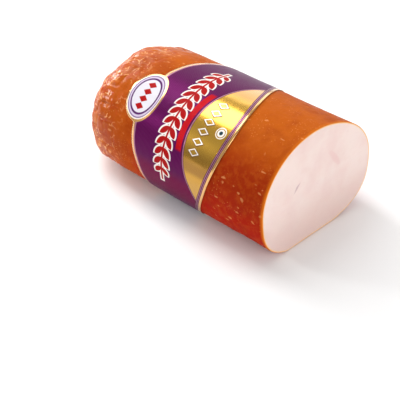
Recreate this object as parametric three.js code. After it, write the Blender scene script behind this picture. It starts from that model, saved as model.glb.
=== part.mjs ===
// A smoked, pressed ham log, cut square at one end and rounded at the other, with a printed
// label band wrapped around its middle.
//
// Units are millimetres. +Z is up and the log lies on z = 0. Its axis runs along X, with the cut
// face looking along +X. The origin is under the middle of the log, on the surface it lies on.
//
// "along" is the distance from the cut face towards the rounded end. "turn" is the angle around
// the section: 0 at +Y, a quarter turn at the top and a half turn at -Y. "girth" is the distance
// around the section from the top, positive down the -Y side.
import * as THREE from "three";

// ---------- driving dimensions ----------

const HAM = {
  length: 212,
  halfWidth: 63,
  axisHeight: 42.5, // height of the widest level above the surface it lies on
  crownRise: 54.3, // from the widest level to the top
  bellyDrop: 44.2, // from the widest level to the underside before it flattens
  crownPower: 1.92, // 2 is an ellipse, more is squarer
  bellyPower: 2.9,
  lean: -0.04, // sideways shift for each millimetre of height
  frontFullness: -0.047, // this and the next two are shares of the radius
  frontShoulder: 0.014,
  crownShoulder: 0.013,
  taper: 0.0002, // share of the section lost for each millimetre along
  endLength: 46, // the stretch that rounds off
  endPower: 2.6,
  endHeightShare: 0.62, // height of the rounded end's tip, as a share of the axis height
};

// Long, low lumps where the meat was gathered at the rounded end.
const LUMPS = {
  height: 0.7,
  startsAlong: 162,
  fullAlong: 184,
};

// A flattened place on the rounded end's shoulder, high on the -Y side.
const SHOULDER = {
  turn: (118 / 180) * Math.PI,
  along: 198,
  depth: 4,
  turnSpread: 0.33,
  alongSpread: 13,
};

const LABEL = {
  centreAlong: 95.4,
  centreGirth: 45,
  panelHalf: 47.1, // half of the label's width at its centre
  strapHalf: 15, // half of its width where it is narrowest, behind and under the log
  cutSideFade: 130, // girth over which the edge nearer the cut face narrows to the strap
  endSideFade: 170, // the same for the edge nearer the rounded end
  thickness: 0.4,
  gap: 0.3, // between the label and the ham, and between the label's lapped ends
  seamGirth: -150, // the lapped ends, counted from the label's centre
  lap: 14,
  lapRamp: 8,
  floorClearance: 0.1,
};

// An oval medallion that stands out past the label's edge on the rounded end's side.
const MEDALLION = { along: 142, halfAlong: 16, halfGirth: 22.5 };

// The underside is pressed up where the label passes under it, so that both lie flush.
const RECESS = {
  depth: LABEL.gap + LABEL.thickness + LABEL.floorClearance,
  marginInner: 7,
  marginOuter: 13,
};

const GRID = {
  hamColumns: 76,
  hamBodyRows: 24,
  hamEndRows: 14,
  labelColumns: 88,
  labelRows: 7,
  medallionColumns: 12,
  tableSteps: 1440,
};

const COLOURS = { smokedSkin: 0xb5521c, labelPurple: 0x5c2260 };

// ---------- the section ----------

const clamp01 = (v) => Math.min(Math.max(v, 0), 1);
const smooth = (from, to, v) => {
  const u = clamp01((v - from) / (to - from));
  return u * u * (3 - 2 * u);
};

// The outline before it is centred, with z counted from the surface the log lies on.
function rawOutline(turn) {
  const c = Math.cos(turn);
  const s = Math.sin(turn);
  const power = s >= 0 ? HAM.crownPower : HAM.bellyPower;
  const rise = s >= 0 ? HAM.crownRise : HAM.bellyDrop;
  const oval = (Math.abs(c / HAM.halfWidth) ** power + Math.abs(s / rise) ** power) ** (-1 / power);
  const fullness =
    1 +
    HAM.frontFullness * c +
    HAM.frontShoulder * Math.cos(3 * turn) +
    HAM.crownShoulder * Math.sin(3 * turn);
  const radius = oval * fullness;
  return { y: radius * c + HAM.lean * radius * s, z: HAM.axisHeight + radius * s };
}

// A table around the section, from which the outline is centred and its girth is measured.
function measureSection() {
  const turns = [];
  const points = [];
  for (let i = 0; i <= GRID.tableSteps; i++) {
    const turn = -1.5 * Math.PI + (i / GRID.tableSteps) * 2 * Math.PI;
    turns.push(turn + 2 * Math.PI);
    points.push(rawOutline(turn));
  }
  const ys = points.map((p) => p.y);
  const centreY = (Math.max(...ys) + Math.min(...ys)) / 2;
  const girths = [0];
  for (let i = 1; i < points.length; i++) {
    const a = points[i - 1];
    const b = points[i];
    girths.push(girths[i - 1] + Math.hypot(b.y - a.y, Math.max(b.z, 0) - Math.max(a.z, 0)));
  }
  return { turns, girths, centreY, total: girths[girths.length - 1] };
}

const SECTION = measureSection();

// The table starts at the top, so any girth is brought into one lap from there.
function turnAtGirth(girth) {
  const wanted = ((girth % SECTION.total) + SECTION.total) % SECTION.total;
  const { girths, turns } = SECTION;
  let low = 0;
  let high = girths.length - 1;
  while (high - low > 1) {
    const middle = (low + high) >> 1;
    if (girths[middle] <= wanted) low = middle;
    else high = middle;
  }
  const share = (wanted - girths[low]) / (girths[high] - girths[low]);
  return turns[low] + share * (turns[high] - turns[low]);
}

function girthAtTurn(turn) {
  const start = SECTION.turns[0];
  const wanted = start + ((((turn - start) % (2 * Math.PI)) + 2 * Math.PI) % (2 * Math.PI));
  const at = ((wanted - start) / (2 * Math.PI)) * GRID.tableSteps;
  const low = Math.min(Math.floor(at), GRID.tableSteps - 1);
  return SECTION.girths[low] + (at - low) * (SECTION.girths[low + 1] - SECTION.girths[low]);
}

function outline(turn) {
  const p = rawOutline(turn);
  return { y: p.y - SECTION.centreY, z: p.z };
}

// ---------- the label's outline ----------

const fade = (u) => 0.5 * (1 + Math.cos(Math.PI * Math.min(Math.abs(u), 1)));

// Brings a girth counted from the label's centre to the nearer way round.
function nearerWay(fromCentre) {
  const half = SECTION.total / 2;
  return ((((fromCentre + half) % SECTION.total) + SECTION.total) % SECTION.total) - half;
}

function labelEdges(fromCentre) {
  const g = nearerWay(fromCentre);
  const widening = LABEL.panelHalf - LABEL.strapHalf;
  const cutSide = LABEL.centreAlong - LABEL.strapHalf - widening * fade(g / LABEL.cutSideFade);
  const endSide = LABEL.centreAlong + LABEL.strapHalf + widening * fade(g / LABEL.endSideFade);
  const across = 1 - (g / MEDALLION.halfGirth) ** 2;
  const bulge = across > 0 ? MEDALLION.along + MEDALLION.halfAlong * Math.sqrt(across) : 0;
  return { cutSide, endSide: Math.max(endSide, bulge) };
}

// ---------- the ham ----------

// How far the underside is pressed up at a place, so that the label lies flush under it.
function pressedUp(along, turn) {
  const { cutSide, endSide } = labelEdges(girthAtTurn(turn) - LABEL.centreGirth);
  const outside = Math.max(cutSide - along, along - endSide);
  return RECESS.depth * (1 - smooth(RECESS.marginInner, RECESS.marginOuter, outside));
}

function lump(along, turn) {
  const share = smooth(LUMPS.startsAlong, LUMPS.fullAlong, along) * smooth(-0.3, 0.3, Math.sin(turn));
  const waves =
    Math.sin(5 * turn + along / 9) +
    Math.sin(3 * turn - along / 7 + 1) +
    Math.sin(8 * turn + along / 5 + 2);
  const aside = (turn - SHOULDER.turn) / SHOULDER.turnSpread;
  const beyond = (along - SHOULDER.along) / SHOULDER.alongSpread;
  const flattened = SHOULDER.depth * Math.exp(-aside * aside - beyond * beyond);
  return (share * LUMPS.height * waves) / 3 - flattened;
}

function hamPoint(along, turn) {
  const section = outline(turn);
  const size = 1 - HAM.taper * along;
  const intoEnd = clamp01((along - (HAM.length - HAM.endLength)) / HAM.endLength);
  const rounding = (1 - intoEnd ** HAM.endPower) ** (1 / HAM.endPower);
  const tipHeight = HAM.axisHeight * HAM.endHeightShare;
  const swell = (1 + lump(along, turn) / HAM.crownRise) * rounding;
  const y = section.y * size * swell;
  const z = tipHeight + (section.z * size - tipHeight) * swell;
  const level = intoEnd > 0 ? z : section.z * size;
  return new THREE.Vector3(HAM.length / 2 - along, y, Math.max(level, pressedUp(along, turn)));
}

function hamGeometry() {
  const alongs = [];
  const straight = HAM.length - HAM.endLength;
  for (let i = 0; i <= GRID.hamBodyRows; i++) alongs.push((straight * i) / GRID.hamBodyRows);
  for (let i = 1; i < GRID.hamEndRows; i++) {
    alongs.push(straight + HAM.endLength * Math.sin((i / GRID.hamEndRows) * (Math.PI / 2)));
  }
  const columns = GRID.hamColumns;
  const rings = alongs.map((along) =>
    Array.from({ length: columns }, (_, j) => hamPoint(along, (j / columns) * 2 * Math.PI)),
  );
  const points = rings.flat();
  const faces = [];
  const at = (i, j) => i * columns + (j % columns);
  for (let i = 0; i + 1 < rings.length; i++) {
    for (let j = 0; j < columns; j++) {
      faces.push(at(i, j), at(i + 1, j), at(i + 1, j + 1));
      faces.push(at(i, j), at(i + 1, j + 1), at(i, j + 1));
    }
  }
  const cutCentre = points.push(new THREE.Vector3(HAM.length / 2, 0, HAM.axisHeight)) - 1;
  const tip =
    points.push(new THREE.Vector3(-HAM.length / 2, 0, HAM.axisHeight * HAM.endHeightShare)) - 1;
  for (let j = 0; j < columns; j++) {
    faces.push(cutCentre, at(0, j), at(0, j + 1));
    faces.push(tip, at(rings.length - 1, j + 1), at(rings.length - 1, j));
  }
  return geometryOf(points, faces);
}

// ---------- the label band ----------

// A place on the pressed section, moved out from it along its normal.
function offsetFromHam(along, girth, distance) {
  const size = 1 - HAM.taper * along;
  const place = (g) => {
    const section = outline(turnAtGirth(g));
    return { y: section.y * size, z: Math.max(section.z * size, RECESS.depth) };
  };
  const step = 0.5;
  const here = place(girth);
  const before = place(girth - step);
  const after = place(girth + step);
  const run = Math.hypot(after.y - before.y, after.z - before.z);
  const normal = { y: (after.z - before.z) / run, z: -(after.y - before.y) / run };
  return new THREE.Vector3(
    HAM.length / 2 - along,
    here.y + normal.y * distance,
    here.z + normal.z * distance,
  );
}

// The band's two ends lap: the one that comes over the back lies on the one from underneath.
function lapLift(fromCentre) {
  const lapEnds = LABEL.seamGirth + LABEL.lap / 2;
  return (LABEL.thickness + LABEL.gap) * (1 - smooth(lapEnds, lapEnds + LABEL.lapRamp, fromCentre));
}

function labelColumns() {
  const start = LABEL.seamGirth - LABEL.lap / 2;
  const end = LABEL.seamGirth + SECTION.total + LABEL.lap / 2;
  const columns = [];
  for (let i = 0; i <= GRID.labelColumns; i++) {
    columns.push(start + ((end - start) * i) / GRID.labelColumns);
  }
  for (let i = -GRID.medallionColumns; i <= GRID.medallionColumns; i++) {
    columns.push(MEDALLION.halfGirth * Math.sin((i / GRID.medallionColumns) * (Math.PI / 2)));
  }
  columns.sort((a, b) => a - b);
  return columns.filter((c, i) => i === 0 || c - columns[i - 1] > 0.4);
}

function labelGeometry() {
  const columns = labelColumns();
  const rows = GRID.labelRows;
  const layer = (depth) =>
    columns.map((fromCentre) => {
      const { cutSide, endSide } = labelEdges(fromCentre);
      const distance = LABEL.gap + lapLift(fromCentre) + depth;
      return Array.from({ length: rows + 1 }, (_, i) =>
        offsetFromHam(
          cutSide + ((endSide - cutSide) * i) / rows,
          fromCentre + LABEL.centreGirth,
          distance,
        ),
      );
    });
  const points = [...layer(LABEL.thickness).flat(), ...layer(0).flat()];
  const last = columns.length - 1;
  const outer = (i, k) => k * (rows + 1) + i;
  const inner = (i, k) => (last + 1) * (rows + 1) + outer(i, k);
  const faces = [];
  const quad = (a, b, c, d) => faces.push(a, b, c, a, c, d);
  for (let k = 0; k < last; k++) {
    for (let i = 0; i < rows; i++) {
      quad(outer(i, k), outer(i + 1, k), outer(i + 1, k + 1), outer(i, k + 1));
      quad(inner(i, k), inner(i, k + 1), inner(i + 1, k + 1), inner(i + 1, k));
    }
    quad(outer(0, k), outer(0, k + 1), inner(0, k + 1), inner(0, k));
    quad(outer(rows, k), inner(rows, k), inner(rows, k + 1), outer(rows, k + 1));
  }
  for (let i = 0; i < rows; i++) {
    quad(outer(i, 0), inner(i, 0), inner(i + 1, 0), outer(i + 1, 0));
    quad(outer(i, last), outer(i + 1, last), inner(i + 1, last), inner(i, last));
  }
  return geometryOf(points, faces);
}

// ---------- the assembly ----------

function geometryOf(points, faces) {
  const geometry = new THREE.BufferGeometry();
  const coordinates = points.flatMap((p) => p.toArray());
  geometry.setAttribute("position", new THREE.Float32BufferAttribute(coordinates, 3));
  geometry.setIndex(faces);
  geometry.computeVertexNormals();
  return geometry;
}

function namedMesh(name, geometry, material) {
  const mesh = new THREE.Mesh(geometry, new THREE.MeshStandardMaterial(material));
  mesh.name = name;
  return mesh;
}

const ham = namedMesh("ham", hamGeometry(), {
  color: COLOURS.smokedSkin,
  roughness: 0.45,
  metalness: 0,
});
const labelBand = namedMesh("label_band", labelGeometry(), {
  color: COLOURS.labelPurple,
  roughness: 0.3,
  metalness: 0.4,
});

const smokedHam = new THREE.Group();
smokedHam.add(ham, labelBand);

export default smokedHam;
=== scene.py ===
"""A smoked ham log, cut square at one end, with a printed label band, in a plain studio.

Lengths are in millimetres until a mesh is made, where they become metres. The frame is the
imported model's: +Z up, +X along the log towards its cut face, origin under the log's middle.

"along" is the distance from the cut face, "girth" the distance around the section from its top,
positive down the -Y side, and "turn" the angle around the section from +Y through the top.
"""

import math

import bpy
import numpy as np
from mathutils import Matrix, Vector


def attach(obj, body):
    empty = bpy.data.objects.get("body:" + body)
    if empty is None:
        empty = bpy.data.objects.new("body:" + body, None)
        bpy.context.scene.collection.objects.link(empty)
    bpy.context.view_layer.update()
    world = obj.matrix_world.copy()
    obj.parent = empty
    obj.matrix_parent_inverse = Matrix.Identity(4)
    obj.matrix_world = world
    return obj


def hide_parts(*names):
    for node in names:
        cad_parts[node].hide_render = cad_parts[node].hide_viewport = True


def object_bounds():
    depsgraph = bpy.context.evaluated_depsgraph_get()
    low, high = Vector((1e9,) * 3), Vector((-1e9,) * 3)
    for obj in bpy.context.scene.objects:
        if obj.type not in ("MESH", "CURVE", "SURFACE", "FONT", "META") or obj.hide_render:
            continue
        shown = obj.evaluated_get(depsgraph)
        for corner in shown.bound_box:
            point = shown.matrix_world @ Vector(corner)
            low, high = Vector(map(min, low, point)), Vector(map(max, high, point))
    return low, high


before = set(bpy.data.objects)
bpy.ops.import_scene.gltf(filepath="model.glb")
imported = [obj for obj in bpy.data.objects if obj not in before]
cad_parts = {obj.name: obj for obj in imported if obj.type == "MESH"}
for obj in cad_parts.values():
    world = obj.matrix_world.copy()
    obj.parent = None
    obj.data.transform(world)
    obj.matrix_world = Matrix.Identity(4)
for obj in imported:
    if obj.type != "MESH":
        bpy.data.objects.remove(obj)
cad_low, cad_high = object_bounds()

MM = 0.001

# ---------- the shape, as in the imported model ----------

LENGTH = (cad_high.x - cad_low.x) / MM
HALF_WIDTH = 63.0
AXIS_HEIGHT = 42.5
CROWN_RISE = 54.3
BELLY_DROP = 44.2
CROWN_POWER = 1.92
BELLY_POWER = 2.9
LEAN = -0.04
FRONT_FULLNESS = -0.047
FRONT_SHOULDER = 0.014
CROWN_SHOULDER = 0.013
TAPER = 0.0002
END_LENGTH = 46.0
END_POWER = 2.6
END_HEIGHT_SHARE = 0.62
LUMP_HEIGHT = 0.7
LUMPS_START, LUMPS_FULL = 162.0, 184.0
SHOULDER_TURN = math.radians(118)
SHOULDER_ALONG = 198.0
SHOULDER_DEPTH = 4.0
SHOULDER_TURN_SPREAD = 0.33
SHOULDER_ALONG_SPREAD = 13.0

LABEL_CENTRE_ALONG = 95.4
LABEL_CENTRE_GIRTH = 45.0
PANEL_HALF = 47.1
STRAP_HALF = 15.0
CUT_SIDE_FADE = 130.0
END_SIDE_FADE = 170.0
FILM_THICKNESS = 0.4
FILM_GAP = 0.3
SEAM_GIRTH = -150.0
LAP = 14.0
LAP_RAMP = 8.0
MEDALLION_ALONG = 142.0
MEDALLION_HALF_ALONG = 16.0
MEDALLION_HALF_GIRTH = 22.5
RECESS_DEPTH = 0.8
RECESS_INNER, RECESS_OUTER = 7.0, 13.0

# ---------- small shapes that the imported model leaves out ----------

RIM_RADIUS = 0.6  # the round at the edge of the cut
FACE_RELIEF = 0.12  # depth of the cut face's slight unevenness
FACE_CENTRE_DEPTH = 60.0  # from the skin to the middle of the cut face

# ---------- how fine the meshes are ----------

HAM_COLUMNS = 400
HAM_BODY_ROWS = 176
HAM_END_ROWS = 52
RIM_ROWS = 3
FACE_RINGS = 14
FACE_RING_POWER = 1.5  # above 1, the rings lie closer together near the skin
LABEL_COLUMNS = 440
LABEL_ROWS = 64
LABEL_LEAST_STEP = 0.08  # columns closer than this are merged
MEDALLION_COLUMNS = 30
TABLE_STEPS = 1440
GIRTH_STEP = 0.5  # to each side of a place, where the section's normal is measured

# ---------- the numbers behind random_lumps ----------

LATTICE_FACTORS = np.array([374761393, 668265263, 1442695041])
SEED_FACTOR = 97
SEED_SHIFT = 13.7
MIXING_FACTOR = 1274126177


def smooth(low, high, value):
    u = np.clip((value - low) / (high - low), 0, 1)
    return u * u * (3 - 2 * u)


def raw_outline(turn):
    c = np.cos(turn)
    s = np.sin(turn)
    power = np.where(s >= 0, CROWN_POWER, BELLY_POWER)
    rise = np.where(s >= 0, CROWN_RISE, BELLY_DROP)
    oval = (np.abs(c / HALF_WIDTH) ** power + np.abs(s / rise) ** power) ** (-1 / power)
    shoulders = FRONT_SHOULDER * np.cos(3 * turn) + CROWN_SHOULDER * np.sin(3 * turn)
    fullness = 1 + FRONT_FULLNESS * c + shoulders
    radius = oval * fullness
    return radius * c + LEAN * radius * s, AXIS_HEIGHT + radius * s


# A table around the section, from its top, that gives the turn at each girth.
TABLE_TURNS = np.linspace(0.5 * math.pi, 2.5 * math.pi, TABLE_STEPS + 1)
table_y, table_z = raw_outline(TABLE_TURNS)
table_steps = np.hypot(np.diff(table_y), np.diff(np.maximum(table_z, 0)))
CENTRE_Y = (table_y.max() + table_y.min()) / 2
TABLE_GIRTHS = np.concatenate([[0], np.cumsum(table_steps)])
AROUND = TABLE_GIRTHS[-1]


def turn_at(girth):
    return np.interp(np.mod(girth, AROUND), TABLE_GIRTHS, TABLE_TURNS)


def outline(girth):
    y, z = raw_outline(turn_at(girth))
    return y - CENTRE_Y, z


def fade(u):
    return 0.5 * (1 + np.cos(math.pi * np.minimum(np.abs(u), 1)))


def label_edges(from_centre, medallion=True):
    """Where the label's two edges lie, as distances along, at a girth counted from its centre."""
    g = np.mod(from_centre + AROUND / 2, AROUND) - AROUND / 2
    widening = PANEL_HALF - STRAP_HALF
    cut_side = LABEL_CENTRE_ALONG - STRAP_HALF - widening * fade(g / CUT_SIDE_FADE)
    end_side = LABEL_CENTRE_ALONG + STRAP_HALF + widening * fade(g / END_SIDE_FADE)
    if medallion:
        across = 1 - (g / MEDALLION_HALF_GIRTH) ** 2
        bulge = MEDALLION_ALONG + MEDALLION_HALF_ALONG * np.sqrt(np.maximum(across, 0))
        end_side = np.where(across > 0, np.maximum(end_side, bulge), end_side)
    return cut_side, end_side


def random_lumps(points, size, seed):
    """Smooth random heights from -1 to 1, with lumps about size across, the same on every run."""
    p = points / size + SEED_SHIFT * seed
    cell = np.floor(p).astype(np.int64)
    part = p - cell
    part = part**3 * (part * (part * 6 - 15) + 10)
    total = np.zeros(points.shape[:-1])
    for corner in np.ndindex(2, 2, 2):
        mixed = ((cell + np.array(corner)) * LATTICE_FACTORS).sum(axis=-1) + seed * SEED_FACTOR
        mixed = ((mixed ^ (mixed >> 13)) * MIXING_FACTOR) & 0xFFFFFFFF
        value = ((mixed ^ (mixed >> 16)) & 0xFFFF) / 32767.5 - 1
        weight = np.prod(np.where(np.array(corner) == 1, part, 1 - part), axis=-1)
        total += weight * value
    return total


# ---------- meshes ----------


def grid_faces(rows, columns, closed, start=0):
    """Quads over a grid of points numbered row by row, whose columns may close on themselves."""
    across = columns if closed else columns - 1
    i, j = np.meshgrid(np.arange(rows - 1), np.arange(across), indexing="ij")
    k = (j + 1) % columns
    here = i * columns
    below = here + columns
    quads = np.stack([here + j, below + j, below + k, here + k], -1)
    return start + quads.reshape(-1, 4)


def grid_normals(points):
    """Outward unit normals of a grid of points whose columns close on themselves."""
    down = np.gradient(points, axis=0)
    around = np.roll(points, -1, axis=1) - np.roll(points, 1, axis=1)
    normals = np.cross(down, around)
    return normals / np.maximum(np.linalg.norm(normals, axis=-1, keepdims=True), 1e-9)


def make_mesh(name, points, quads, triangles, maps, material):
    """A mesh object from points in millimetres. maps holds pairs of numbers for each point."""
    mesh = bpy.data.meshes.new(name)
    mesh.from_pydata((points * MM).tolist(), [], quads.tolist() + triangles.tolist())
    corners = np.empty(len(mesh.loops), dtype=np.int32)
    mesh.loops.foreach_get("vertex_index", corners)
    for map_name, values in maps.items():
        layer = mesh.uv_layers.new(name=map_name)
        layer.uv.foreach_set("vector", values[corners].astype(np.float32).ravel())
    mesh.materials.append(material)
    mesh.shade_smooth()
    obj = bpy.data.objects.new(name, mesh)
    bpy.context.scene.collection.objects.link(obj)
    return obj


# ---------- the ham ----------


def ham_surface(along, girth):
    """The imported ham's surface, from the cut face to the rounded end's tip."""
    turn = turn_at(girth)
    y, z = outline(girth)
    size = 1 - TAPER * along
    into_end = np.clip((along - (LENGTH - END_LENGTH)) / END_LENGTH, 0, 1)
    rounding = (1 - into_end**END_POWER) ** (1 / END_POWER)
    tip_height = AXIS_HEIGHT * END_HEIGHT_SHARE
    share = smooth(LUMPS_START, LUMPS_FULL, along) * smooth(-0.3, 0.3, np.sin(turn))
    waves = (
        np.sin(5 * turn + along / 9)
        + np.sin(3 * turn - along / 7 + 1)
        + np.sin(8 * turn + along / 5 + 2)
    )
    aside = (np.mod(turn, 2 * math.pi) - SHOULDER_TURN) / SHOULDER_TURN_SPREAD
    beyond = (along - SHOULDER_ALONG) / SHOULDER_ALONG_SPREAD
    lump = share * LUMP_HEIGHT * waves / 3 - SHOULDER_DEPTH * np.exp(-aside * aside - beyond * beyond)
    swell = (1 + lump / CROWN_RISE) * rounding
    level = np.where(into_end > 0, tip_height + (z * size - tip_height) * swell, z * size)
    return np.stack([LENGTH / 2 - along + 0 * y, y * size * swell, level], -1)


def outside_label(along, girth):
    """How far a place lies outside the label's edges. It is below 0 under the label."""
    cut_side, end_side = label_edges(girth - LABEL_CENTRE_GIRTH)
    return np.maximum(cut_side - along, along - end_side)


def skin_relief(points, along, girth):
    """How far the skin stands out from the smooth surface, in millimetres."""
    body = 0.30 * random_lumps(points, size=26, seed=1)
    body = body + 0.10 * random_lumps(points, size=8, seed=2)
    lumps = 0.7 * random_lumps(points, size=15, seed=3)
    lumps = lumps + 0.85 * random_lumps(points, size=8, seed=4)
    creases = (1 - np.abs(random_lumps(points, size=11, seed=5))) ** 7
    fine_creases = (1 - np.abs(random_lumps(points, size=4.5, seed=6))) ** 5
    end = lumps - 1.1 * creases - 0.35 * fine_creases

    # The relief fades out at the label, on the floor and at the cut.
    towards_end = smooth(145, 176, along)
    free = smooth(0.5, 6, outside_label(along, girth))
    off_floor = smooth(0.5, 8, points[..., 2])
    near_cut = smooth(0, 4, along)
    return (body + towards_end * end) * free * off_floor * near_cut


def cut_face(edge, centre):
    """Rings of points from the middle of the cut face to its rim, and how deep each lies.

    The rim is a small round, which starts at the edge, a ring on the skin.
    """
    inward = (centre - edge) * np.array([0, 1, 1])
    reach = np.linalg.norm(inward, axis=-1, keepdims=True)
    inward = inward / reach
    rings = []
    depths = []
    for i in range(1, RIM_ROWS + 1):
        angle = i / RIM_ROWS * math.pi / 2
        ring = edge + inward * RIM_RADIUS * (1 - math.cos(angle))
        ring[:, 0] = LENGTH / 2 - RIM_RADIUS * (1 - math.sin(angle))
        rings.append(ring)
        depths.append(np.full(HAM_COLUMNS, RIM_RADIUS * i / RIM_ROWS))
    for i in range(1, FACE_RINGS):
        share = (i / FACE_RINGS) ** FACE_RING_POWER
        depth = RIM_RADIUS + (reach - RIM_RADIUS) * share
        ring = edge + inward * depth
        ring[:, 0] = LENGTH / 2
        ring[:, 0] += FACE_RELIEF * (random_lumps(ring, size=9, seed=7) - 1)
        rings.append(ring)
        depths.append(depth[:, 0])
    return np.array(rings)[::-1], np.array(depths)[::-1]


def build_ham(material):
    straight = LENGTH - END_LENGTH
    body = np.linspace(RIM_RADIUS, straight, HAM_BODY_ROWS)
    ends = straight + END_LENGTH * np.sin(np.arange(1, HAM_END_ROWS) / HAM_END_ROWS * math.pi / 2)
    girths = np.arange(HAM_COLUMNS) / HAM_COLUMNS * AROUND
    along, girth = np.meshgrid(np.concatenate([body, ends]), girths, indexing="ij")
    points = ham_surface(along, girth)
    relief = skin_relief(points, along, girth)
    points = points + grid_normals(points) * relief[..., None]
    pressed = RECESS_DEPTH * (1 - smooth(RECESS_INNER, RECESS_OUTER, outside_label(along, girth)))
    points[..., 2] = np.maximum(points[..., 2], pressed)

    # The grid runs from the middle of the cut face over its rim to the rounded end. A fan of
    # triangles closes it on a centre at each end.
    centre = np.array([LENGTH / 2, 0, AXIS_HEIGHT])
    face, face_depth = cut_face(points[0], centre)
    grid = np.concatenate([face, points])
    depth = np.concatenate([face_depth, 0 * along])
    reach = np.concatenate([-face_depth, along])
    tip = np.array([[-LENGTH / 2, 0, AXIS_HEIGHT * END_HEIGHT_SHARE]])
    flat = np.concatenate([grid.reshape(-1, 3), centre[None], tip])

    # The map says how far inside the skin a place is on the cut face, and how far along.
    zones = np.stack([depth.ravel(), reach.ravel()], -1)
    zones = np.concatenate([zones, [[FACE_CENTRE_DEPTH, -FACE_CENTRE_DEPTH], [0, LENGTH]]])
    rows = len(grid)
    last = (rows - 1) * HAM_COLUMNS
    j = np.arange(HAM_COLUMNS)
    k = (j + 1) % HAM_COLUMNS
    centre_fan = np.stack([0 * j + rows * HAM_COLUMNS, j, k], -1)
    tip_fan = np.stack([0 * j + rows * HAM_COLUMNS + 1, last + k, last + j], -1)
    quads = grid_faces(rows, HAM_COLUMNS, closed=True)
    fans = np.concatenate([centre_fan, tip_fan])
    return make_mesh("ham_log", flat, quads, fans, {"zones": zones}, material)


# ---------- the label band ----------


def build_label(material):
    start = SEAM_GIRTH - LAP / 2
    columns = np.linspace(start, start + AROUND + LAP, LABEL_COLUMNS)
    bulge = MEDALLION_HALF_GIRTH * np.sin(np.linspace(-1, 1, MEDALLION_COLUMNS) * math.pi / 2)
    columns = np.sort(np.concatenate([columns, bulge]))
    columns = columns[np.concatenate([[True], np.diff(columns) > LABEL_LEAST_STEP])]
    cut_side, end_side = label_edges(columns)
    plain_end = label_edges(columns, medallion=False)[1]
    share = np.linspace(0, 1, LABEL_ROWS)[:, None]
    along = cut_side + (end_side - cut_side) * share
    from_centre = columns + 0 * along
    girth = from_centre + LABEL_CENTRE_GIRTH
    size = 1 - TAPER * along

    def place(g):
        y, z = outline(g)
        return y * size, np.maximum(z * size, RECESS_DEPTH)

    here_y, here_z = place(girth)
    before_y, before_z = place(girth - GIRTH_STEP)
    after_y, after_z = place(girth + GIRTH_STEP)
    run = np.hypot(after_y - before_y, after_z - before_z)
    normal_y = (after_z - before_z) / run
    normal_z = -(after_y - before_y) / run
    lap_end = SEAM_GIRTH + LAP / 2
    lift = (FILM_THICKNESS + FILM_GAP) * (1 - smooth(lap_end, lap_end + LAP_RAMP, from_centre))
    here = np.stack([LENGTH / 2 - along, here_y, here_z], -1)

    # The film ripples a little, but not where it nears the floor.
    ripple = 0.10 * random_lumps(here, size=30, seed=8)
    ripple = ripple + 0.03 * random_lumps(here, size=7, seed=9)
    ripple = (ripple + 0.05) * smooth(4, 16, here_z)

    def layer(depth):
        distance = FILM_GAP + lift + ripple + depth
        return np.stack([here[..., 0], here_y + normal_y * distance, here_z + normal_z * distance], -1)

    rows, count = along.shape
    points = np.concatenate([layer(FILM_THICKNESS).reshape(-1, 3), layer(0).reshape(-1, 3)])
    outer = np.arange(rows * count).reshape(rows, count)
    inner = outer + rows * count
    outer_sheet = grid_faces(rows, count, closed=False)
    inner_sheet = grid_faces(rows, count, closed=False, start=rows * count)[:, ::-1]

    def strip(a, b):
        """Quads between two rows of point numbers, from the outer sheet to the inner one."""
        return np.stack([a[:-1], a[1:], b[1:], b[:-1]], -1)

    sides = [
        strip(outer[0], inner[0]),
        strip(inner[-1], outer[-1]),
        strip(inner[:, 0], outer[:, 0]),
        strip(outer[:, -1], inner[:, -1]),
    ]
    quads = np.concatenate([outer_sheet, inner_sheet, *sides])

    # One map places the print on the film. The other says how far in from each edge a place is.
    artwork = np.stack([along.ravel(), from_centre.ravel()], -1)
    margins = np.stack([(along - cut_side).ravel(), (plain_end - along).ravel()], -1)
    maps = {"artwork": np.tile(artwork, (2, 1)), "margins": np.tile(margins, (2, 1))}
    return make_mesh("label_film", points, quads, np.zeros((0, 3), int), maps, material)


# ---------- materials ----------


def colour(red, green, blue):
    """A colour given as screen values from 0 to 255, as the linear values that shaders take."""
    def linear(v):
        v /= 255
        return v / 12.92 if v <= 0.04045 else ((v + 0.055) / 1.055) ** 2.4

    return (linear(red), linear(green), linear(blue), 1.0)


class Field:
    """A number that varies over a surface, made by a material's nodes."""

    def __init__(self, paint, socket):
        self.paint = paint
        self.socket = socket

    def _math(self, operation, *values):
        node = self.paint.node("ShaderNodeMath", operation=operation)
        for socket, value in zip(node.inputs, values):
            self.paint.feed(socket, value)
        return Field(self.paint, node.outputs[0])

    def __add__(self, other):
        return self._math("ADD", self, other)

    def __sub__(self, other):
        return self._math("SUBTRACT", self, other)

    def __mul__(self, other):
        return self._math("MULTIPLY", self, other)

    def __truediv__(self, other):
        return self._math("DIVIDE", self, other)

    def abs(self):
        return self._math("ABSOLUTE", self)

    def least(self, other):
        return self._math("MINIMUM", self, other)

    def most(self, other):
        return self._math("MAXIMUM", self, other)

    def root(self):
        return self._math("SQRT", self)

    def square(self):
        return self._math("MULTIPLY", self, self)

    def wrap(self, period):
        """The distance from the nearest of evenly spaced marks, from -period / 2 to period / 2."""
        return self._math("WRAP", self, period / 2, -period / 2)

    def sine(self):
        return self._math("SINE", self)

    def rise(self, low, high):
        """0 up to low, 1 from high on, and smooth in between. It falls where low is above high."""
        node = self.paint.node("ShaderNodeMapRange", interpolation_type="SMOOTHSTEP")
        self.paint.feed(node.inputs["Value"], self)
        up = low < high
        node.inputs["From Min"].default_value = low if up else high
        node.inputs["From Max"].default_value = high if up else low
        node.inputs["To Min"].default_value = 0 if up else 1
        node.inputs["To Max"].default_value = 1 if up else 0
        return Field(self.paint, node.outputs["Result"])

    def below(self, edge, soft=0.12):
        return self.rise(edge + soft, edge - soft)

    def between(self, low, high, soft=0.12):
        return self.rise(low - soft, low + soft) * self.rise(high + soft, high - soft)


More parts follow.
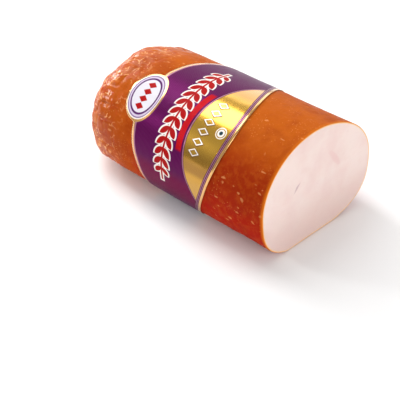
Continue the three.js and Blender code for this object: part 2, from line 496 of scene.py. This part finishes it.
class Paint:
    """A material with one Principled shader, and short ways to make the nodes that feed it."""

    def __init__(self, name):
        self.material = bpy.data.materials.new(name)
        self.material.use_nodes = True
        self.tree = self.material.node_tree
        self.shader = self.tree.nodes["Principled BSDF"]

    def node(self, kind, **settings):
        node = self.tree.nodes.new(kind)
        for key, value in settings.items():
            setattr(node, key, value)
        return node

    def feed(self, socket, value):
        if isinstance(value, Field):
            self.tree.links.new(value.socket, socket)
        else:
            socket.default_value = value

    def pair(self, map_name):
        """The two numbers of a mesh's map, as fields."""
        node = self.node("ShaderNodeUVMap", uv_map=map_name)
        split = self.node("ShaderNodeSeparateXYZ")
        self.tree.links.new(node.outputs[0], split.inputs[0])
        return Field(self, split.outputs[0]), Field(self, split.outputs[1])

    def place(self):
        """The place on the object, as a vector in metres, with its three parts."""
        node = self.node("ShaderNodeTexCoord")
        split = self.node("ShaderNodeSeparateXYZ")
        self.tree.links.new(node.outputs["Object"], split.inputs[0])
        return Field(self, node.outputs["Object"]), [Field(self, o) for o in split.outputs]

    def stretched(self, vector, scale):
        """The vector scaled by axis, so that a pattern on it is longer where the scale is below 1."""
        node = self.node("ShaderNodeMapping")
        self.feed(node.inputs["Vector"], vector)
        node.inputs["Scale"].default_value = scale
        return Field(self, node.outputs[0])

    def bent(self, vector, size, by):
        """The vector moved about at random, by up to about by metres, for wavy lines."""
        noise = self.node("ShaderNodeTexNoise")
        self.feed(noise.inputs["Vector"], vector)
        noise.inputs["Scale"].default_value = 1 / (size * MM)
        noise.inputs["Detail"].default_value = 2
        shift = self.node("ShaderNodeVectorMath", operation="MULTIPLY_ADD")
        self.tree.links.new(noise.outputs["Color"], shift.inputs[0])
        shift.inputs[1].default_value = (by, by, by)
        self.feed(shift.inputs[2], vector)
        return Field(self, shift.outputs[0])

    def noise(self, vector, size, detail=2, roughness=0.5):
        """Soft random values from 0 to 1, in patches about size millimetres across."""
        node = self.node("ShaderNodeTexNoise")
        self.feed(node.inputs["Vector"], vector)
        node.inputs["Scale"].default_value = 1 / (size * MM)
        node.inputs["Detail"].default_value = detail
        node.inputs["Roughness"].default_value = roughness
        return Field(self, node.outputs["Fac"])

    def cells(self, vector, size, feature="F1"):
        """The distance from scattered points, or from the lines between them, in shares of size."""
        node = self.node("ShaderNodeTexVoronoi", feature=feature)
        self.feed(node.inputs["Vector"], vector)
        node.inputs["Scale"].default_value = 1 / (size * MM)
        return Field(self, node.outputs["Distance"])

    def mix(self, share, low, high):
        """A colour that goes from low to high as share goes from 0 to 1."""
        node = self.node("ShaderNodeMix", data_type="RGBA")
        self.feed(node.inputs[0], share)
        self.feed(node.inputs[6], low)
        self.feed(node.inputs[7], high)
        return Field(self, node.outputs[2])

    def blend(self, share, low, high):
        """A number that goes from low to high as share goes from 0 to 1."""
        node = self.node("ShaderNodeMix", data_type="FLOAT")
        self.feed(node.inputs[0], share)
        self.feed(node.inputs[2], low)
        self.feed(node.inputs[3], high)
        return Field(self, node.outputs[0])

    def bump(self, height, distance):
        """A bump whose height field is in shares of distance, which is in metres."""
        node = self.node("ShaderNodeBump")
        node.inputs["Strength"].default_value = 1.0
        node.inputs["Distance"].default_value = distance
        self.feed(node.inputs["Height"], height)
        self.tree.links.new(node.outputs[0], self.shader.inputs["Normal"])

    def set(self, name, value):
        self.feed(self.shader.inputs[name], value)


# ---------- the ham's looks ----------

UPPER_SKIN = colour(184, 87, 9)
# The middle and lower skin colours are redder and also darker; the darkening is painted shade.
MIDDLE_SKIN_AND_SHADE = colour(150, 41, 3)
LOWER_SKIN_AND_SHADE = colour(172, 24, 4)
END_SKIN = colour(184, 86, 8)
BROWN_BLOTCH = colour(134, 34, 4)
TAN_MOTTLE = colour(200, 98, 26)
RED_BLOTCH = colour(160, 38, 2)
PAINTED_SHEEN = colour(228, 146, 72)
FAT_FLECK = colour(236, 164, 100)
FAT_GRAIN = colour(226, 140, 72)
FAT_VEIN = colour(246, 182, 116)
RIM_ORANGE = colour(222, 120, 24)
MEAT = colour(243, 223, 216)
CLOUDY_MEAT = colour(238, 212, 206)
MEAT_STRAND = colour(226, 192, 186)
MEAT_PAINTED_SHADE = colour(222, 192, 184)
GREY_FIBRE = colour(204, 172, 176)
PINK_STREAK = colour(232, 190, 188)
CUT_SKIN = colour(228, 136, 52)
UNDER_SKIN = colour(246, 206, 152)

# Two marks on the cut face: where each starts, in millimetres across and up, and how it runs.
FIBRE_START = (-22.1, 56.4)
FIBRE_TURN = math.radians(224.27)
STREAK_START = (11.0, 71.0)
STREAK_TURN = math.radians(-52.68)


def fat_veins(paint, place, along, end_share):
    """Branching pale veins at the rounded end, broken up and fewer towards its tip."""
    bent = paint.bent(place, size=10, by=0.010)
    lines = paint.cells(bent, size=6.5, feature="DISTANCE_TO_EDGE").rise(0.105, 0.03)
    broken = paint.noise(place, size=4.5, detail=1).rise(0.51, 0.58)
    patches = paint.noise(place, size=20, detail=1).rise(0.38, 0.48)
    fewer = paint.blend(along.rise(190, 207), 1.0, 0.42)
    return lines * broken * end_share * patches * fewer


def skin_colour(paint, place, along, z, end_share, mottle, veins):
    """Smoked skin: orange above, redder and darker below with the darkening partly painted shade,
    mottled and flecked with fat, with painted sheen at the rounded end.
    """
    # Orange above and redder below; the darker middle and low skin is painted shade.
    skin = paint.mix(z.rise(0.096, 0.067), UPPER_SKIN, MIDDLE_SKIN_AND_SHADE)
    skin = paint.mix(z.rise(0.064, 0.020), skin, LOWER_SKIN_AND_SHADE)
    skin = paint.mix(along.rise(124, 152) * 0.7, skin, END_SKIN)
    blotches = paint.noise(place, size=30, detail=3, roughness=0.6).rise(0.46, 0.68)
    skin = paint.mix(blotches * 0.38, skin, BROWN_BLOTCH)
    skin = paint.mix(mottle * 0.22, skin, TAN_MOTTLE)
    dark = paint.noise(place, size=10, detail=3, roughness=0.6).rise(0.48, 0.62)
    skin = paint.mix(dark * end_share * 0.5, skin, RED_BLOTCH)
    # Soft pale patches over the rounded end are painted sheen.
    longer = paint.stretched(place, (1, 1.3, 1.3))
    sheen_patches = paint.noise(longer, size=17, detail=2, roughness=0.6).rise(0.56, 0.74)
    skin = paint.mix(sheen_patches * end_share * 0.40, skin, PAINTED_SHEEN)

    wavy = paint.bent(place, size=8, by=0.006)
    flecks = paint.cells(paint.stretched(wavy, (0.45, 1, 1)), size=5.5).rise(0.23, 0.12)
    flecks = flecks * paint.noise(place, size=13, detail=1).rise(0.46, 0.54)
    skin = paint.mix(flecks * 0.42, skin, FAT_FLECK)
    grains = paint.cells(wavy, size=2).rise(0.28, 0.10)
    grains = grains * paint.noise(place, size=18, detail=2).rise(0.52, 0.60)
    skin = paint.mix(grains * 0.50, skin, FAT_GRAIN)
    skin = paint.mix(veins * 0.64, skin, FAT_VEIN)
    rim = along.rise(3.6, 0.3) * paint.blend(z.rise(0.060, 0.090), 0.75, 0.40)
    return paint.mix(rim, skin, RIM_ORANGE)


def from_mark(y, z, start, turn):
    """Millimetres along and across a mark on the cut face."""
    aside = y / MM - start[0]
    above = z / MM - start[1]
    along_mark = aside * math.cos(turn) + above * math.sin(turn)
    across_mark = above * math.cos(turn) - aside * math.sin(turn)
    return along_mark, across_mark


def cut_face_colour(paint, place, y, z, depth):
    """Pale pink meat, faintly marbled, with an orange edge where the skin was cut through."""
    clouds = paint.noise(place, size=26, detail=3).rise(0.35, 0.7)
    meat = paint.mix(clouds, MEAT, CLOUDY_MEAT)
    flatter = paint.stretched(place, (1, 1, 2.2))
    strands = paint.noise(flatter, size=7, detail=4, roughness=0.6).rise(0.52, 0.74)
    meat = paint.mix(strands * 0.12, meat, MEAT_STRAND)
    # Painted shade: the meat darkens towards the bottom of the cut face.
    meat = paint.mix(z.rise(0.052, 0.004) * 0.75, meat, MEAT_PAINTED_SHADE)

    # A thin wavy fibre, and a soft pink streak.
    u, v = from_mark(y, z, FIBRE_START, FIBRE_TURN)
    wave = (u * 0.6).sine() * 0.3
    fibre = (u - 3.4).abs() / 7.0 + (v + wave).abs() / 1.7
    meat = paint.mix(fibre.rise(1.1, 0.4) * 0.75, meat, GREY_FIBRE)
    u, v = from_mark(y, z, STREAK_START, STREAK_TURN)
    streak = ((u - 13) / 13).square() + (v / 3.2).square()
    meat = paint.mix(streak.rise(1.2, 0.1) * 0.45, meat, PINK_STREAK)

    edge = paint.mix(depth.rise(0.3, 0.9), CUT_SKIN, UNDER_SKIN)
    return paint.mix(depth.rise(0.6, 1.9), edge, meat)


def ham_material():
    paint = Paint("smoked_meat")
    depth, along = paint.pair("zones")
    place, (_, y, z) = paint.place()
    end_share = along.rise(148, 176)
    mottle = paint.noise(place, size=5, detail=4, roughness=0.65).rise(0.40, 0.68)
    veins = fat_veins(paint, place, along, end_share)
    skin = skin_colour(paint, place, along, z, end_share, mottle, veins)
    face = cut_face_colour(paint, place, y, z, depth)
    paint.set("Base Color", paint.mix(depth.rise(0.02, 0.35), skin, face))

    face_share = depth.rise(0.1, 1.0)
    rough = paint.blend(end_share, 0.50, 0.30)
    rough = rough + paint.noise(place, size=6, detail=2).rise(0.3, 0.7) * 0.08
    paint.set("Roughness", paint.blend(face_share, rough, 0.55))
    paint.set("Specular IOR Level", 0.03)
    paint.set("Subsurface Weight", 0.10)
    paint.set("Subsurface Radius", (1.0, 0.35, 0.2))
    paint.set("Subsurface Scale", 0.004)
    paint.set("Coat Weight", end_share * 0.25)
    paint.set("Coat Roughness", 0.14)
    grain = paint.noise(place, size=1.6, detail=3, roughness=0.6) * 0.4
    grain = grain + mottle * 0.25 + veins * 0.35
    paint.bump(grain * paint.blend(face_share, 1.0, 0.3), 0.00035)
    return paint.material


# ---------- the label's looks ----------

PURPLE = colour(84, 6, 70)
RIB_PURPLE = colour(122, 30, 102)
PAINTED_PINK_REFLECTION = colour(124, 4, 54)
MAUVE = colour(166, 110, 136)
GOLD = colour(226, 174, 56)
GOLD_DIM_REFLECTION = colour(172, 122, 18)
GOLD_DARK_REFLECTION = colour(124, 80, 4)
GOLD_TIP_REFLECTION = colour(190, 136, 60)
PEACH_GOLD = colour(232, 178, 108)
GOLD_SHADE = colour(110, 74, 30)
DARK_LINE = colour(64, 22, 36)
WHITE = colour(240, 232, 226)
RED = colour(170, 16, 16)
STRIP_RED = colour(184, 16, 26)
ROSETTE_EYE = colour(40, 66, 74)
MEDALLION_LINE = colour(112, 76, 134)
MEDALLION_LILAC = colour(210, 194, 218)
MEDALLION_PURPLE = colour(88, 34, 98)
MEDALLION_FIELD = colour(224, 220, 228)

# Places on the label are millimetres along the ham and around it from the label's centre.
RIB_SPACING = 1.3
CRESCENT_CENTRE = (-26.7, 1.0)
CRESCENT_RADIUS = 113.8
STRIP_RADII = (117.0, 122.6)
STRIP_CENTRE = 0.5

GARLAND_ALONG = 105.0
GARLAND_HALF = 60.0
GARLAND_OUTLINE = 1.4
STEM_HALF_WIDTH = 0.9
LEAF_SPACING = 8.6
LEAF_ASIDE = 4.3
LEAF_TILT = math.radians(44)
LEAF_HALF_LENGTH = 5.3
LEAF_HALF_WIDTH = 2.5

LOZENGE_SPACING = 8.7
LOZENGE_SHIFT = 3.35
LOZENGE_ALONG = 75.5
LOZENGE_HALF = (5.6, 3.3)
LOZENGE_SHADE_HALF = (6.0, 3.7)
LOZENGE_SHADE_SHIFT = (-0.4, 0.35)
LOZENGE_ROW_CENTRE = 1.0
LOZENGE_ROW_HALF = 26.1

ROSETTE_CENTRE = (60.5, 0.5)
ROSETTE_RADIUS = 4.8
BEAD_SPACING = 6.6
BEAD_SHIFT = 3.3
BEAD_HALF = (4.4, 3.1)
BEAD_ROW_HALF = 13.2


def ellipse(t, g, centre, half):
    """0 at the centre, 1 on the outline and more outside it."""
    u = (t - centre[0]) / half[0]
    v = (g - centre[1]) / half[1]
    return (u.square() + v.square()).root()


def lozenge(t, g, centre, half):
    """0 at the centre, 1 on the outline and more outside it."""
    return (t - centre[0]).abs() / half[0] + (g - centre[1]).abs() / half[1]


class Print:
    """The label's print: layers laid one over another, each with its colour and metallic share."""

    def __init__(self, paint, tint, shine):
        self.paint = paint
        self.tint = tint
        self.shine = shine

    def layer(self, mask, tint, shine):
        self.tint = self.paint.mix(mask, self.tint, tint)
        self.shine = self.paint.blend(mask, self.shine, shine)


def print_crescent(art, reach, g):
    """The gold crescent and its outline, with painted reflections: darker bands lower on the gold and
    a duller tip.
    """
    art.layer(reach.below(CRESCENT_RADIUS + 2.1), DARK_LINE, 0.2)
    art.layer(reach.below(CRESCENT_RADIUS + 1.5), MAUVE, 0.5)
    art.layer(reach.below(CRESCENT_RADIUS + 0.5), DARK_LINE, 0.2)
    inside = reach.below(CRESCENT_RADIUS)
    art.layer(inside, GOLD, 1.0)
    # The next three layers are painted reflections in the foil: darker bands lower down and a duller
    # tip.
    dim_reflection = inside * g.rise(12, 29) * art.paint.blend(g.rise(36, 44), 0.85, 0.60)
    art.layer(dim_reflection, GOLD_DIM_REFLECTION, 1.0)
    dark_reflection = inside * g.rise(27, 34) * g.rise(42, 37)
    art.layer(dark_reflection * 0.6, GOLD_DARK_REFLECTION, 1.0)
    tip_reflection = inside * g.rise(-30, -40)
    art.layer(tip_reflection * 0.9, GOLD_TIP_REFLECTION, 1.0)


def print_edges(art, cut_margin, end_margin):
    """Gold and mauve lines with dark borders, by their distance from the label's two edges."""
    art.layer(cut_margin.below(5.6), DARK_LINE, 0.2)
    art.layer(cut_margin.below(5.1), MAUVE, 0.7)
    art.layer(cut_margin.below(4.3), DARK_LINE, 0.2)
    art.layer(cut_margin.below(3.6), MAUVE, 0.7)
    art.layer(cut_margin.below(2.9), DARK_LINE, 0.2)
    art.layer(cut_margin.below(2.3), PEACH_GOLD, 0.9)
    art.layer(end_margin.below(3.9), DARK_LINE, 0.3)
    art.layer(end_margin.below(3.6), MAUVE, 0.6)
    art.layer(end_margin.below(2.1), PEACH_GOLD, 0.9)


def print_strip(art, reach, g):
    """A soft-ended red strip along the crescent."""
    strip = reach.between(*STRIP_RADII) * (g - STRIP_CENTRE).abs().rise(28, 25)
    art.layer(strip, STRIP_RED, 0.1)


def print_garland(art, t, g):
    """Red leaves in pairs on a stem, outlined in white. They taper off at both ends."""
    side = (t - GARLAND_ALONG).abs()
    u = g.wrap(LEAF_SPACING)
    v = side - LEAF_ASIDE
    lengthwise = u * math.cos(LEAF_TILT) + v * math.sin(LEAF_TILT)
    crosswise = (v * math.cos(LEAF_TILT) - u * math.sin(LEAF_TILT)).abs()

    # A leaf is where two circles overlap. bow is how far their centres lie off its midrib.
    bow = (LEAF_HALF_LENGTH**2 - LEAF_HALF_WIDTH**2) / (2 * LEAF_HALF_WIDTH)
    from_circle = (lengthwise.square() + (crosswise + bow).square()).root()
    leaf = from_circle - (bow + LEAF_HALF_WIDTH)
    leaf = leaf + g.abs().rise(50, 64) * 6.0
    stem = (side - STEM_HALF_WIDTH).most(g.abs() - GARLAND_HALF)
    shape = leaf.least(stem)
    art.layer(shape.below(GARLAND_OUTLINE), WHITE, 0.0)
    art.layer(shape.below(0.0), RED, 0.0)


def print_lozenges(art, t, g):
    """A row of outlined lozenges on the gold, each with a darker edge on one side."""
    row = (g - LOZENGE_ROW_CENTRE).abs().below(LOZENGE_ROW_HALF)
    step = (g + LOZENGE_SHIFT).wrap(LOZENGE_SPACING)
    shade_centre = (LOZENGE_ALONG + LOZENGE_SHADE_SHIFT[0], LOZENGE_SHADE_SHIFT[1])
    shade = lozenge(t, step, shade_centre, LOZENGE_SHADE_HALF)
    shape = lozenge(t, step, (LOZENGE_ALONG, 0.0), LOZENGE_HALF)
    art.layer(shade.below(1.08, 0.05) * row, GOLD_SHADE, 0.4)
    art.layer(shape.below(0.98, 0.04) * row, WHITE, 0.4)
    art.layer(shape.below(0.70, 0.04) * row, GOLD_SHADE, 0.6)
    art.layer(shape.below(0.62, 0.04) * row, GOLD, 1.0)


def print_rosette(art, t, g):
    """A small round rosette."""
    shape = ellipse(t, g, ROSETTE_CENTRE, (ROSETTE_RADIUS, ROSETTE_RADIUS))
    art.layer(shape.below(1.0, 0.04), WHITE, 0.2)
    art.layer(shape.below(0.84, 0.04), GOLD, 1.0)
    art.layer(shape.below(0.66, 0.04), WHITE, 0.1)
    art.layer(shape.below(0.34, 0.05), ROSETTE_EYE, 0.1)


def print_medallion(art, t, g):
    """Rings around a pale oval that holds a row of red lozenges."""
    centre = (MEDALLION_ALONG, 0.0)
    oval = ellipse(t, g, centre, (MEDALLION_HALF_ALONG, MEDALLION_HALF_GIRTH))
    art.layer(oval.below(1.02, 0.01), PEACH_GOLD, 0.9)
    art.layer(oval.below(0.93, 0.01), WHITE, 0.0)
    art.layer(oval.below(0.88, 0.01), MEDALLION_LINE, 0.0)
    art.layer(oval.below(0.84, 0.01), MEDALLION_LILAC, 0.0)
    art.layer(oval.below(0.76, 0.01), MEDALLION_PURPLE, 0.0)
    art.layer(oval.below(0.68, 0.01), MEDALLION_FIELD, 0.0)
    bead = lozenge(t, (g + BEAD_SHIFT).wrap(BEAD_SPACING), centre, BEAD_HALF)
    art.layer(bead.below(1.0, 0.05) * g.abs().below(BEAD_ROW_HALF), RED, 0.0)


def label_material():
    paint = Paint("printed_film")
    t, g = paint.pair("artwork")
    cut_margin, end_margin = paint.pair("margins")
    place, _ = paint.place()

    # Fine ribs run around the purple. Low on the front a redder band is a painted reflection.
    ribs = (t * (2 * math.pi / RIB_SPACING)).sine()
    field = paint.mix(ribs.rise(-0.2, 1.0) * 0.30, PURPLE, RIB_PURPLE)
    field = paint.mix(g.rise(44, 56) * g.rise(84, 66) * 0.55, field, PAINTED_PINK_REFLECTION)
    art = Print(paint, field, 0.4)
    reach = ((t - CRESCENT_CENTRE[0]).square() + (g - CRESCENT_CENTRE[1]).square()).root()
    print_crescent(art, reach, g)
    print_edges(art, cut_margin, end_margin)
    print_strip(art, reach, g)
    print_garland(art, t, g)
    print_lozenges(art, t, g)
    print_rosette(art, t, g)
    print_medallion(art, t, g)

    metal = art.shine
    paint.set("Base Color", art.tint)
    paint.set("Metallic", metal)
    paint.set("Roughness", paint.blend(metal.rise(0.5, 0.9), 0.36, 0.2))
    paint.set("Specular IOR Level", 0.03)
    paint.set("Coat Weight", metal.rise(0.6, 0.9) * 0.8)
    paint.set("Coat Roughness", 0.15)
    film = ribs * metal.rise(0.6, 0.45) * 0.5 + paint.noise(place, size=12, detail=1) * 0.4
    paint.bump(film, 0.00010)
    return paint.material


# ---------- the studio ----------

CAMERA_TURN = math.radians(43.66)
CAMERA_RISE = math.radians(35.5)
CAMERA_DISTANCE = 1120
CAMERA_AIM = (11.7, -32.4 - CENTRE_Y, 0)
CAMERA_LENS = 126
CAMERA_REACH = 20  # metres, past the far edge of the floor
SENSOR = 36
LAMP_AIM = Vector((0, 0, 0.05))
SURROUNDINGS = 0.42
FLOOR_HALF = 4.0
FLOOR_LEVEL = -0.0002  # a little under the part, so that no two surfaces coincide


def toward(turn, rise):
    """The direction from the object to a viewer."""
    aside = math.cos(rise)
    return Vector((math.sin(turn) * aside, -math.cos(turn) * aside, math.sin(rise)))


def add_camera():
    data = bpy.data.cameras.new("camera")
    data.sensor_width = SENSOR
    data.lens = CAMERA_LENS
    data.clip_end = CAMERA_REACH
    camera = bpy.data.objects.new("camera", data)
    bpy.context.scene.collection.objects.link(camera)
    back = toward(CAMERA_TURN, CAMERA_RISE)
    camera.location = (Vector(CAMERA_AIM) + back * CAMERA_DISTANCE) * MM
    camera.rotation_euler = back.to_track_quat("Z", "Y").to_euler()
    bpy.context.scene.camera = camera


def add_softbox(name, direction, distance, size, watts):
    """A rectangular lamp that faces the middle of the log."""
    data = bpy.data.lights.new(name, "AREA")
    data.shape = "RECTANGLE"
    data.size, data.size_y = size
    data.energy = watts
    lamp = bpy.data.objects.new(name, data)
    bpy.context.scene.collection.objects.link(lamp)
    direction = Vector(direction).normalized()
    lamp.location = LAMP_AIM + direction * distance
    lamp.rotation_euler = direction.to_track_quat("Z", "Y").to_euler()


def add_lights():
    add_softbox("overhead", (-0.57, 0.06, 0.82), distance=1.3, size=(0.60, 1.4), watts=12.5)
    add_softbox("backlight", (-0.45, 0.80, 0.42), distance=1.8, size=(2.2, 1.2), watts=12)
    add_softbox("left", (-0.95, 0.10, 0.28), distance=1.3, size=(0.26, 0.30), watts=6)
    add_softbox("right", (0.95, -0.25, 0.45), distance=1.6, size=(1.0, 1.0), watts=10)
    add_softbox("far_end", (-0.79, -0.52, 0.32), distance=1.3, size=(0.22, 0.22), watts=5)
    world = bpy.data.worlds.new("studio")
    world.use_nodes = True
    background = world.node_tree.nodes["Background"]
    background.inputs["Color"].default_value = (1, 1, 1, 1)
    background.inputs["Strength"].default_value = SURROUNDINGS
    bpy.context.scene.world = world


def floor_material():
    paint = Paint("pale_floor")
    paint.set("Base Color", (0.92, 0.92, 0.92, 1.0))
    paint.set("Roughness", 0.9)
    paint.set("Specular IOR Level", 0.1)
    return paint.material


def add_floor():
    mesh = bpy.data.meshes.new("floor")
    corners = [(FLOOR_HALF * x, FLOOR_HALF * y, 0) for x, y in ((-1, -1), (1, -1), (1, 1), (-1, 1))]
    mesh.from_pydata(corners, [], [(0, 1, 2, 3)])
    mesh.materials.append(floor_material())
    floor = bpy.data.objects.new("floor", mesh)
    floor.location.z = FLOOR_LEVEL
    bpy.context.scene.collection.objects.link(floor)


# ---------- the scene ----------

add_camera()
add_lights()
add_floor()

ham = build_ham(ham_material())
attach(ham, "root")
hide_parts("ham")

label = build_label(label_material())
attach(label, "root")
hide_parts("label_band")

bpy.context.scene.view_settings.view_transform = "Standard"
